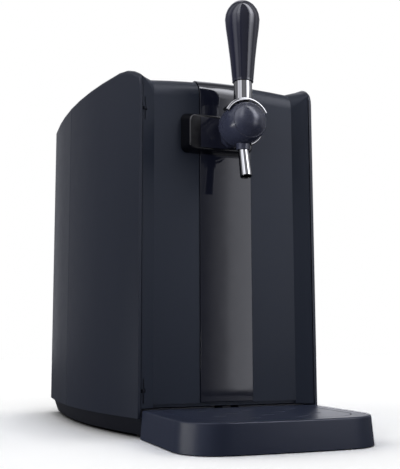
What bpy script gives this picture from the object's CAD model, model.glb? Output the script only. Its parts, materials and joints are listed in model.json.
import json
import math

import bmesh
import bpy
from mathutils import Matrix, Vector


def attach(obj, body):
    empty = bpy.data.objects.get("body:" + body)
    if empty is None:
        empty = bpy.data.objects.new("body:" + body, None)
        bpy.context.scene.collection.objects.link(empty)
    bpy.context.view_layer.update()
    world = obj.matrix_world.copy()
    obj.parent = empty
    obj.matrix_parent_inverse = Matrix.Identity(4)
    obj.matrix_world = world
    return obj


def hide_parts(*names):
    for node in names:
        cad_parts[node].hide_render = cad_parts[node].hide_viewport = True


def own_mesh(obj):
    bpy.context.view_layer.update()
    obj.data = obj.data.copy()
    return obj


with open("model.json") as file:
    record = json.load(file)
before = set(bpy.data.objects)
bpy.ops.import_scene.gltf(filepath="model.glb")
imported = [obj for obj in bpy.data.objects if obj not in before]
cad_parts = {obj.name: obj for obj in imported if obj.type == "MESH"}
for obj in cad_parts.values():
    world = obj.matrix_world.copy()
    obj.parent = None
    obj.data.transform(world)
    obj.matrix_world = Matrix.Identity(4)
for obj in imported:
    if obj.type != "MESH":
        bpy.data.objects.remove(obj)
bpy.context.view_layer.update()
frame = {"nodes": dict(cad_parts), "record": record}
nodes = frame["nodes"]

MM = 0.001
FRONT_SHIFT = -106.5
BODY_OF = {
    node: body
    for body, names in frame["record"]["behaviour"]["bodies"].items()
    for node in names
}


# Colours

def linear(value):
    """One sRGB channel, 0 to 255, as scene-linear light."""
    share = value / 255
    if share <= 0.04045:
        return share / 12.92
    return ((share + 0.055) / 1.055) ** 2.4


def rgb(red, green, blue):
    return (linear(red), linear(green), linear(blue), 1.0)


# Camera, at the photograph's angle

CAMERA_PLACE = Vector((-324.66, -882.2, 96.65)) * MM
CAMERA_YAW = math.radians(20.577)
CAMERA_PITCH = math.radians(7.373)
CAMERA_ROLL = math.radians(-0.156)
FOCAL_PIXELS = 809.41
FRAME_WIDTH = 400
SENSOR_WIDTH = 36.0


def make_camera():
    data = bpy.data.cameras.new("camera")
    data.sensor_fit = "HORIZONTAL"
    data.sensor_width = SENSOR_WIDTH
    data.lens = SENSOR_WIDTH * FOCAL_PIXELS / FRAME_WIDTH
    camera = bpy.data.objects.new("camera", data)
    bpy.context.scene.collection.objects.link(camera)
    forward = Vector((
        math.sin(CAMERA_YAW) * math.cos(CAMERA_PITCH),
        math.cos(CAMERA_YAW) * math.cos(CAMERA_PITCH),
        math.sin(CAMERA_PITCH),
    ))
    right = Vector((math.cos(CAMERA_YAW), -math.sin(CAMERA_YAW), 0.0))
    up = right.cross(forward)
    rolled = right * math.cos(CAMERA_ROLL) + up * math.sin(CAMERA_ROLL)
    risen = rolled.cross(forward)
    turn = Matrix((rolled, risen, -forward)).transposed()
    camera.matrix_world = Matrix.Translation(CAMERA_PLACE) @ turn.to_4x4()
    bpy.context.scene.camera = camera


make_camera()


# Studio

AMBIENT = 0.12
LIGHT_COLOUR = (0.97, 0.98, 1.05, 1)
WHITE = (1, 1, 1, 1)
FLOOR_SHADE = 0.8
FLOOR_SEEN = 8.9
SHADE_REACH = 0.1
FLOOR_CORNERS = [(-1.6, -0.75), (1.6, -0.75), (3.0, 3.0), (-3.0, 3.0)]
# Sines of the heights above the horizon at which a window has its low level and its high level
LOW_SINE = 0.12
HIGH_SINE = 0.5
# Windows of light that reflections see: azimuths in degrees from straight ahead of the object's front
# towards its right, where the window starts, is full, is still full and ends, then its level near the
# horizon and its level high up. A level of 1 is white.
WINDOWS = [
    (-401, -400, -168, -160, 0.33, 0.33),
    (-168, -160, -145, -135, 0.2, 0.2),
    (-145, -135, -110, -95, 0.05, 0.8),
    (-100, -82, -66, -58, 1.3, 2.6),
    (-64, -52, -43, -33, 0.5, 4.0),
    (-33, -30, 10, 20, 0.36, 0.5),
    (10, 20, 22.5, 24, 0.2, 0.2),
    (20.9, 24.3, 36, 46, 1.6, 1.6),
    (22.5, 22.65, 34, 44, 0.75, 0.75),
    (26, 40, 50, 66, 1.5, 8.5),
    (60, 70, 95, 105, 0.5, 0.9),
    (100, 110, 135, 145, 0.3, 0.3),
    (140, 150, 400, 401, 1.5, 1.0),
]
# Lamps: name, place, width, height and power in watts.
LAMPS = [
    ("lamp_left", (-2.0, 0.0, 0.5), 1.2, 1.0, 7.0),
    ("lamp_low", (-1.2, -1.6, 0.4), 0.8, 0.6, 5.5),
    ("lamp_floor", (-1.2, 0.0, 0.07), 0.9, 0.1, 3.2),
    ("lamp_right", (1.8, -0.6, 0.6), 1.0, 1.0, 5.6),
    ("lamp_top", (0.0, 0.0, 2.2), 1.6, 1.6, 2.4),
]
LAMP_TARGET = (0.0, 0.0, 0.2)
SEEN_IN_REFLECTIONS = {"lamp_floor"}


def math_node(tree, operation, first, second=None, third=None):
    node = tree.nodes.new("ShaderNodeMath")
    node.operation = operation
    for socket, value in zip(node.inputs, (first, second, third)):
        if value is None:
            continue
        if isinstance(value, (int, float)):
            socket.default_value = value
        else:
            tree.links.new(value, socket)
    return node.outputs[0]


def span_node(tree, source, start, end, low=0.0, high=1.0):
    """A socket's value, from low at start to high at end, and level beyond them."""
    node = tree.nodes.new("ShaderNodeMapRange")
    for name, value in (("From Min", start), ("From Max", end), ("To Min", low), ("To Max", high)):
        node.inputs[name].default_value = value
    tree.links.new(source, node.inputs["Value"])
    return node.outputs["Result"]


def make_world():
    """White for the camera, an even light on the object, and windows that only reflections see."""
    world = bpy.data.worlds.new("studio")
    bpy.context.scene.world = world
    world.use_nodes = True
    tree = world.node_tree
    tree.nodes.clear()
    coords = tree.nodes.new("ShaderNodeTexCoord")
    split = tree.nodes.new("ShaderNodeSeparateXYZ")
    tree.links.new(coords.outputs["Generated"], split.inputs[0])
    across, along, height = split.outputs
    forward = math_node(tree, "MULTIPLY", along, -1.0)
    azimuth = math_node(tree, "DEGREES", math_node(tree, "ARCTAN2", across, forward))
    total = 0.0
    for start, full, still, end, low, high in WINDOWS:
        rise = span_node(tree, azimuth, start, full)
        fall = span_node(tree, azimuth, end, still)
        band = math_node(tree, "MINIMUM", rise, fall)
        level = span_node(tree, height, LOW_SINE, HIGH_SINE, low, high)
        total = math_node(tree, "MULTIPLY_ADD", band, level, total)
    rays = tree.nodes.new("ShaderNodeLightPath")
    direct = math_node(tree, "MAXIMUM", rays.outputs["Is Camera Ray"], rays.outputs["Is Transmission Ray"])
    mirrored = math_node(tree, "MULTIPLY", total, rays.outputs["Is Glossy Ray"])
    other = math_node(tree, "SUBTRACT", 1.0, rays.outputs["Is Glossy Ray"])
    strength = math_node(tree, "MULTIPLY_ADD", other, AMBIENT, mirrored)
    # Camera and transmission rays see plain white, and every other ray the studio's light.
    soft = tree.nodes.new("ShaderNodeBackground")
    soft.inputs["Color"].default_value = LIGHT_COLOUR
    tree.links.new(strength, soft.inputs["Strength"])
    white = tree.nodes.new("ShaderNodeBackground")
    white.inputs["Color"].default_value = WHITE
    pick = tree.nodes.new("ShaderNodeMixShader")
    output = tree.nodes.new("ShaderNodeOutputWorld")
    tree.links.new(direct, pick.inputs[0])
    tree.links.new(soft.outputs[0], pick.inputs[1])
    tree.links.new(white.outputs[0], pick.inputs[2])
    tree.links.new(pick.outputs[0], output.inputs[0])


make_world()


def softbox(name, place, width, height, power):
    """A soft lamp aimed at the object. The camera doesn't see it, and reflections only if it is named."""
    data = bpy.data.lights.new(name, "AREA")
    data.shape = "RECTANGLE"
    data.size = width
    data.size_y = height
    data.energy = power
    lamp = bpy.data.objects.new(name, data)
    bpy.context.scene.collection.objects.link(lamp)
    lamp.location = place
    aim = Vector(LAMP_TARGET) - Vector(place)
    lamp.rotation_euler = aim.to_track_quat("-Z", "Y").to_euler()
    lamp.visible_camera = False
    lamp.visible_glossy = name in SEEN_IN_REFLECTIONS


for name, place, width, height, power in LAMPS:
    softbox(name, place, width, height, power)


def make_floor():
    """A matt floor that the camera sees as white, darker near the object and where it is shaded."""
    data = bpy.data.meshes.new("floor")
    data.from_pydata(
        [(x, y, 0) for x, y in FLOOR_CORNERS],
        [],
        [(0, 1, 2, 3)],
    )
    floor = bpy.data.objects.new("floor", data)
    bpy.context.scene.collection.objects.link(floor)
    material = bpy.data.materials.new("floor")
    material.use_nodes = True
    tree = material.node_tree
    tree.nodes.clear()
    output = tree.nodes.new("ShaderNodeOutputMaterial")
    seen = tree.nodes.new("ShaderNodeBsdfDiffuse")
    nearness = tree.nodes.new("ShaderNodeAmbientOcclusion")
    nearness.inputs["Color"].default_value = tuple(FLOOR_SEEN / channel for channel in LIGHT_COLOUR)
    nearness.inputs["Distance"].default_value = SHADE_REACH
    tree.links.new(nearness.outputs["Color"], seen.inputs["Color"])
    diffuse = tree.nodes.new("ShaderNodeBsdfDiffuse")
    diffuse.inputs["Color"].default_value = (FLOOR_SHADE, FLOOR_SHADE, FLOOR_SHADE, 1)
    rays = tree.nodes.new("ShaderNodeLightPath")
    pick = tree.nodes.new("ShaderNodeMixShader")
    tree.links.new(rays.outputs["Is Camera Ray"], pick.inputs[0])
    tree.links.new(diffuse.outputs[0], pick.inputs[1])
    tree.links.new(seen.outputs[0], pick.inputs[2])
    tree.links.new(pick.outputs[0], output.inputs[0])
    floor.data.materials.append(material)
    return floor


def keep_off(floor):
    """The lamps light the object only, so the floor shows the even light's soft shadow."""
    for lamp in [item for item in bpy.data.objects if item.type == "LIGHT"]:
        group = bpy.data.collections.new(lamp.name + "_off")
        group.objects.link(floor)
        group.collection_objects[0].light_linking.link_state = "EXCLUDE"
        lamp.light_linking.receiver_collection = group


keep_off(make_floor())
bpy.context.scene.view_settings.view_transform = "Standard"


# Materials

COLOUR_START = 0.3
COLOUR_END = 0.7
NOISE_FALL = 0.5
NOISE_LOW = 0.25
NOISE_HIGH = 0.75
BUMP_STRENGTH = 1.0

# Each texture's scale is its grains per metre. Heights are in metres.
MATTE_COLOUR_SHARES = (0.97, 1.03)
MATTE_ROUGHNESS_SHARES = (0.96, 1.04)
MATTE_MOTTLE_SCALE = 6
MATTE_PATCH_SCALE = 60
GRAIN_SCALE = 1500
GRAIN_HEIGHT = 0.00004
GLOSS_COLOUR_SHARES = (0.94, 1.06)
GLOSS_ROUGHNESS_SHARES = (0.7, 1.5)
GLOSS_MOTTLE_SCALE = 14
GLOSS_HAIRLINE_SCALE = 180
GLOSS_WAVE_SCALE = 35
GLOSS_WAVE_HEIGHT = 0.00002
METAL_COLOUR_SHARES = (0.95, 1.02)
METAL_ROUGHNESS_SHARES = (0.7, 1.6)
METAL_MOTTLE_SCALE = 40
BRUSH_SCALE = 12
BRUSH_STRETCH = (300, 300, 12)
BRUSH_HEIGHT = 0.000004


class Finish:
    """Builds one procedural material on Blender's Principled shader, in object metres."""

    def __init__(self, name, roughness, metallic=0.0, specular=0.5):
        self.material = bpy.data.materials.new(name)
        self.material.use_nodes = True
        self.tree = self.material.node_tree
        self.shader = self.tree.nodes["Principled BSDF"]
        self.shader.inputs["Metallic"].default_value = metallic
        self.shader.inputs["Roughness"].default_value = roughness
        self.shader.inputs["Specular IOR Level"].default_value = specular
        self.coords = self.tree.nodes.new("ShaderNodeTexCoord")
        self.last_normal = None

    def stretched(self, scale):
        mapping = self.tree.nodes.new("ShaderNodeMapping")
        mapping.inputs["Scale"].default_value = scale
        self.tree.links.new(self.coords.outputs["Object"], mapping.inputs["Vector"])
        return mapping.outputs["Vector"]

    def noise(self, scale, detail=2.0, stretch=None):
        node = self.tree.nodes.new("ShaderNodeTexNoise")
        node.inputs["Scale"].default_value = scale
        node.inputs["Detail"].default_value = detail
        node.inputs["Roughness"].default_value = NOISE_FALL
        vector = self.stretched(stretch) if stretch else self.coords.outputs["Object"]
        self.tree.links.new(vector, node.inputs["Vector"])
        return node.outputs["Fac"]

    def colour(self, low, high, source):
        ramp = self.tree.nodes.new("ShaderNodeValToRGB")
        ramp.color_ramp.elements[0].position = COLOUR_START
        ramp.color_ramp.elements[0].color = low
        ramp.color_ramp.elements[1].position = COLOUR_END
        ramp.color_ramp.elements[1].color = high
        self.tree.links.new(source, ramp.inputs["Fac"])
        self.tree.links.new(ramp.outputs["Color"], self.shader.inputs["Base Color"])
        return self

    def roughness(self, low, high, source):
        span = self.tree.nodes.new("ShaderNodeMapRange")
        span.inputs["From Min"].default_value = NOISE_LOW
        span.inputs["From Max"].default_value = NOISE_HIGH
        span.inputs["To Min"].default_value = low
        span.inputs["To Max"].default_value = high
        self.tree.links.new(source, span.inputs["Value"])
        self.tree.links.new(span.outputs["Result"], self.shader.inputs["Roughness"])
        return self

    def bump(self, source, height):
        node = self.tree.nodes.new("ShaderNodeBump")
        node.inputs["Strength"].default_value = BUMP_STRENGTH
        node.inputs["Distance"].default_value = height
        self.tree.links.new(source, node.inputs["Height"])
        if self.last_normal:
            self.tree.links.new(self.last_normal, node.inputs["Normal"])
        self.last_normal = node.outputs["Normal"]
        self.tree.links.new(self.last_normal, self.shader.inputs["Normal"])
        return self


def scaled(colour, factor):
    return (colour[0] * factor, colour[1] * factor, colour[2] * factor, 1.0)


def spread(value, shares):
    return [value * share for share in shares]


def moulded_plastic(name, colour, roughness, specular=0.5, grain=GRAIN_HEIGHT, grain_scale=GRAIN_SCALE):
    """Injection-moulded plastic: a fine spark-eroded grain with a slow mottle."""
    finish = Finish(name, roughness, specular=specular)
    slow = finish.noise(MATTE_MOTTLE_SCALE)
    fine = finish.noise(grain_scale)
    finish.colour(*[scaled(colour, share) for share in MATTE_COLOUR_SHARES], slow)
    finish.roughness(*spread(roughness, MATTE_ROUGHNESS_SHARES), finish.noise(MATTE_PATCH_SCALE, detail=3))
    finish.bump(fine, grain)
    return finish


def gloss_plastic(name, colour, roughness, specular=0.5):
    """Polished plastic with the faint waviness of a moulding and fine hairlines."""
    finish = Finish(name, roughness, specular=specular)
    mottle = finish.noise(GLOSS_MOTTLE_SCALE)
    finish.colour(*[scaled(colour, share) for share in GLOSS_COLOUR_SHARES], mottle)
    hairlines = finish.noise(GLOSS_HAIRLINE_SCALE, detail=4)
    finish.roughness(*spread(roughness, GLOSS_ROUGHNESS_SHARES), hairlines)
    finish.bump(finish.noise(GLOSS_WAVE_SCALE, detail=1), GLOSS_WAVE_HEIGHT)
    return finish


def polished_metal(name, colour, roughness):
    """Metal with fine brushed hairlines and a slow mottle."""
    finish = Finish(name, roughness, metallic=1.0)
    hairlines = finish.noise(BRUSH_SCALE, detail=3, stretch=BRUSH_STRETCH)
    mottle = finish.noise(METAL_MOTTLE_SCALE)
    finish.colour(*[scaled(colour, share) for share in METAL_COLOUR_SHARES], mottle)
    finish.roughness(*spread(roughness, METAL_ROUGHNESS_SHARES), hairlines)
    finish.bump(hairlines, BRUSH_HEIGHT)
    return finish


shell = moulded_plastic("shell_matte", rgb(33, 38, 51), roughness=0.38, specular=0.28)
door_matte = moulded_plastic("door_matte", rgb(38, 44, 57), roughness=0.42, specular=0.22)
rear_matte = moulded_plastic("rear_matte", rgb(35, 40, 52), roughness=0.38, specular=0.28)
tray_matte = moulded_plastic("tray_navy", rgb(41, 47, 65), roughness=0.36, specular=0.28)
gloss = gloss_plastic("gloss_dark", rgb(34, 37, 53), roughness=0.05)
tap_gloss = gloss_plastic("tap_gloss", rgb(64, 68, 88), roughness=0.24)
display_gloss = gloss_plastic("display_gloss", rgb(14, 15, 22), roughness=0.12, specular=0.4)
lens_gloss = gloss_plastic("lens_gloss", rgb(42, 44, 60), roughness=0.08)
grip_gloss = gloss_plastic("grip_gloss", rgb(38, 40, 62), roughness=0.1)
# Darker than real chrome, to suit the bright windows that reflections see
chrome = polished_metal("chrome", (0.3, 0.3, 0.305, 1), roughness=0.06)
steel = polished_metal("steel_zinc", (0.55, 0.56, 0.58, 1), roughness=0.3)
aluminium = polished_metal("aluminium", (0.72, 0.73, 0.74, 1), roughness=0.35)
dark_steel = polished_metal("steel_black", (0.012, 0.013, 0.017, 1), roughness=0.45)
rubber = moulded_plastic("rubber", rgb(24, 24, 26), roughness=0.75, specular=0.3)
liner_grey = moulded_plastic("liner_grey", rgb(176, 180, 184), roughness=0.45, specular=0.4)
foam = moulded_plastic(
    "foam_cream", rgb(214, 202, 168), roughness=0.9, specular=0.2, grain=0.0003, grain_scale=600,
)
black_plastic = moulded_plastic("black_plastic", rgb(20, 22, 30), roughness=0.42, specular=0.3)
board_green = moulded_plastic("board_green", rgb(28, 84, 52), roughness=0.35, specular=0.5)
hose_clear = moulded_plastic("hose_clear", rgb(84, 88, 92), roughness=0.3, specular=0.5)
ceramic = moulded_plastic("ceramic_white", rgb(226, 226, 222), roughness=0.4, specular=0.5)


# Forms

WELD_DISTANCE = 0.002 * MM
FLAT_ANGLE = math.radians(0.6)
SHARP_ANGLE = math.radians(35)
TOUCH = 0.1 * MM
NORMAL_WEIGHT = 80
EDGE_SEGMENTS = 2
ROUND_PROFILE = 0.5
BAND_STEPS = 40
BAND_SIDES = 16

# Sizes and places of the CAD solids, in millimetres, that the refined forms start from
PANEL_HALF_WIDTH = 79.3
LENS_LEFT = -29.1
STEM_DEPTH = -37.3
GRIP_RING_RADIUS = 11.7
SADDLE_FRONT = -46.5
TAP_HEIGHT = 314.5

# What the refined forms change them to
PANEL_SHOWN_HALF_WIDTH = 79.8
LENS_SHOWN_LEFT = -33.9
GRIP_SHOWN_RING_RADIUS = 10.9
SADDLE_ROUNDING = 1.3
SADDLE_ROUNDING_STEPS = 4
PANEL_ROUNDING = 0.4
TAP_ROUNDING = 0.3

# Chrome bands about the tap: middle radius, depth, half thickness and half depth in millimetres, and the
# angles between which a band runs, in degrees from the right-hand side upwards
RIM_RADIUS = 23.5
RIM_DEPTH = -46.2
RIM_HALF = (2.0, 2.2)
RIM_ANGLES = (27, 153)
TRIM_RADIUS = 22.0
TRIM_DEPTH = -37.0
TRIM_HALF = (1.5, 2.0)
TRIM_ANGLES = (-68, -18)


def show(name, mesh, material, node=None, body=None):
    """A new piece made of a mesh, which rides on its body and may stand for a CAD node."""
    piece = bpy.data.objects.new(name, mesh)
    bpy.context.scene.collection.objects.link(piece)
    mesh.materials.clear()
    mesh.materials.append(material)
    if node:
        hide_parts(node)
    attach(piece, body or BODY_OF[node])
    return piece


def finish_mesh(form, name):
    mesh = bpy.data.meshes.new(name)
    form.to_mesh(mesh)
    form.free()
    mesh.polygons.foreach_set("use_smooth", [True] * len(mesh.polygons))
    mesh.set_sharp_from_angle(angle=SHARP_ANGLE)
    return mesh


def weigh_normals(piece):
    """Flat faces keep their own normals beside rounded edges."""
    weighting = piece.modifiers.new("weighting", "WEIGHTED_NORMAL")
    weighting.keep_sharp = True
    weighting.weight = NORMAL_WEIGHT


def joined_form(node):
    form = bmesh.new()
    form.from_mesh(nodes[node].data)
    bmesh.ops.remove_doubles(form, verts=form.verts, dist=WELD_DISTANCE)
    bmesh.ops.dissolve_limit(form, angle_limit=FLAT_ANGLE, verts=form.verts, edges=form.edges)
    return form


def rounded(form, edges, width, segments):
    bmesh.ops.bevel(
        form, geom=edges, offset=width * MM, offset_type="OFFSET", segments=segments, profile=ROUND_PROFILE,
        affect="EDGES", clamp_overlap=True,
    )


def narrow(form, centre, old, new):
    """Draws the vertices at one radius about an upright line in to another radius."""
    for vertex in form.verts:
        offset = vertex.co.xy - Vector(centre) * MM
        if abs(offset.length - old * MM) < TOUCH:
            vertex.co.xy = Vector(centre) * MM + offset * (new / old)


def refine(node, width, material, moves=(), blunt=None, waist=None):
    """Shows a CAD node with its triangles joined, its sharp edges rounded and its curves shaded smooth."""
    form = joined_form(node)
    kept = set()
    for axis, old, new in moves:
        for vertex in form.verts:
            if abs(vertex.co[axis] - old * MM) < TOUCH:
                vertex.co[axis] = new * MM
                kept.add(vertex)
    if waist:
        narrow(form, *waist)
    if blunt:
        depth, reach, steps = blunt
        rim = [
            edge for edge in form.edges
            if edge.calc_face_angle(0.0) > SHARP_ANGLE
            and all(abs(vertex.co.y - depth * MM) < TOUCH for vertex in edge.verts)
        ]
        rounded(form, rim, reach, steps)
    edges = [
        edge for edge in form.edges
        if edge.calc_face_angle(0.0) > SHARP_ANGLE and not (edge.verts[0] in kept and edge.verts[1] in kept)
    ]
    if width > 0:
        rounded(form, edges, width, EDGE_SEGMENTS)
    piece = show(node + "_form", finish_mesh(form, node), material, node)
    weigh_normals(piece)
    return piece


def band(name, radius, depth, half, angles, material, body):
    """A rounded strip bent about the tap, between two angles measured from its right-hand side upwards."""
    form = bmesh.new()
    first, last = angles
    hoops = []
    for step in range(BAND_STEPS + 1):
        angle = math.radians(first + (last - first) * step / BAND_STEPS)
        hoop = []
        for turn in range(BAND_SIDES):
            around = math.tau * turn / BAND_SIDES
            reach = radius + half[0] * math.cos(around)
            hoop.append(form.verts.new(Vector((
                reach * math.cos(angle),
                depth + FRONT_SHIFT + half[1] * math.sin(around),
                TAP_HEIGHT + reach * math.sin(angle),
            )) * MM))
        hoops.append(hoop)
    for near, far in zip(hoops, hoops[1:]):
        for turn in range(BAND_SIDES):
            following = (turn + 1) % BAND_SIDES
            form.faces.new((near[turn], near[following], far[following], far[turn]))
    form.faces.new(hoops[0])
    form.faces.new(hoops[-1])
    bmesh.ops.recalc_face_normals(form, faces=form.faces)
    return show(name, finish_mesh(form, name), material, body=body)


# Each row: the finish, the width of the rounded edges in millimetres, and the CAD nodes
REFINED = [
    (shell, 0.8, ["left_side_panel", "right_side_panel", "top_cover"]),
    (rear_matte, 0.4, ["rear_cover"]),
    (door_matte, 0.4, ["door_frame"]),
    (black_plastic, 0.5, [
        "fan_frame", "fan_rotor", "mains_inlet", "switch_housing",
        "power_rocker", "coupler_housing", "air_pump", "keg_cradle", "power_supply",
    ]),
    (black_plastic, 0.1, ["base_pan"]),
    (display_gloss, 0.6, ["display_housing"]),
    (rubber, 0.5, [
        "foot_front_left", "foot_front_right", "foot_rear_left", "foot_rear_right", "door_gasket",
        "door_magnet",
    ]),
    (gloss, 0.4, ["center_strip"]),
    (tap_gloss, 0.3, ["tap_body", "tap_cap", "spout_collar"]),
    (chrome, 0.3, ["spout"]),
    (dark_steel, 0.3, ["hinge_bracket_lower", "hinge_bracket_upper", "hinge_pin_lower", "hinge_pin_upper"]),
    (steel, 0.3, ["catch_plate", "tap_nut", "tap_pivot_pin", "valve_slider", "service_bracket"]),
    (aluminium, 0.3, ["cold_plate", "heat_sink"]),
    (liner_grey, 0.8, ["door_liner", "keg_liner", "cavity_bezel"]),
    (rubber, 0.4, ["coupler_head"]),
    (foam, 1.0, ["insulation_foam"]),
    (board_green, 0.2, ["display_board", "control_board"]),
    (hose_clear, 0.0, ["air_hose"]),
    (ceramic, 0.4, ["thermoelectric_module"]),
    (tray_matte, 0.6, ["drip_tray", "drip_tray_cover"]),
]
for finish, width, names in REFINED:
    for name in names:
        refine(name, width, finish.material)
refine(
    "front_panel", PANEL_ROUNDING, door_matte.material,
    moves=[(0, PANEL_HALF_WIDTH, PANEL_SHOWN_HALF_WIDTH), (0, -PANEL_HALF_WIDTH, -PANEL_SHOWN_HALF_WIDTH)],
)
refine("display_lens", TAP_ROUNDING, lens_gloss.material, moves=[(0, LENS_LEFT, LENS_SHOWN_LEFT)])
refine(
    "tap_handle", TAP_ROUNDING, grip_gloss.material,
    waist=((0, STEM_DEPTH + FRONT_SHIFT), GRIP_RING_RADIUS, GRIP_SHOWN_RING_RADIUS),
)
refine(
    "tap_lever", TAP_ROUNDING, chrome.material,
    blunt=(SADDLE_FRONT + FRONT_SHIFT, SADDLE_ROUNDING, SADDLE_ROUNDING_STEPS),
)
band("saddle_rim", RIM_RADIUS, RIM_DEPTH, RIM_HALF, RIM_ANGLES, chrome.material, "lever")
band("ball_trim", TRIM_RADIUS, TRIM_DEPTH, TRIM_HALF, TRIM_ANGLES, chrome.material, "door")
spring = refine("coupler_spring", 0.0, steel.material)
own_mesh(spring)
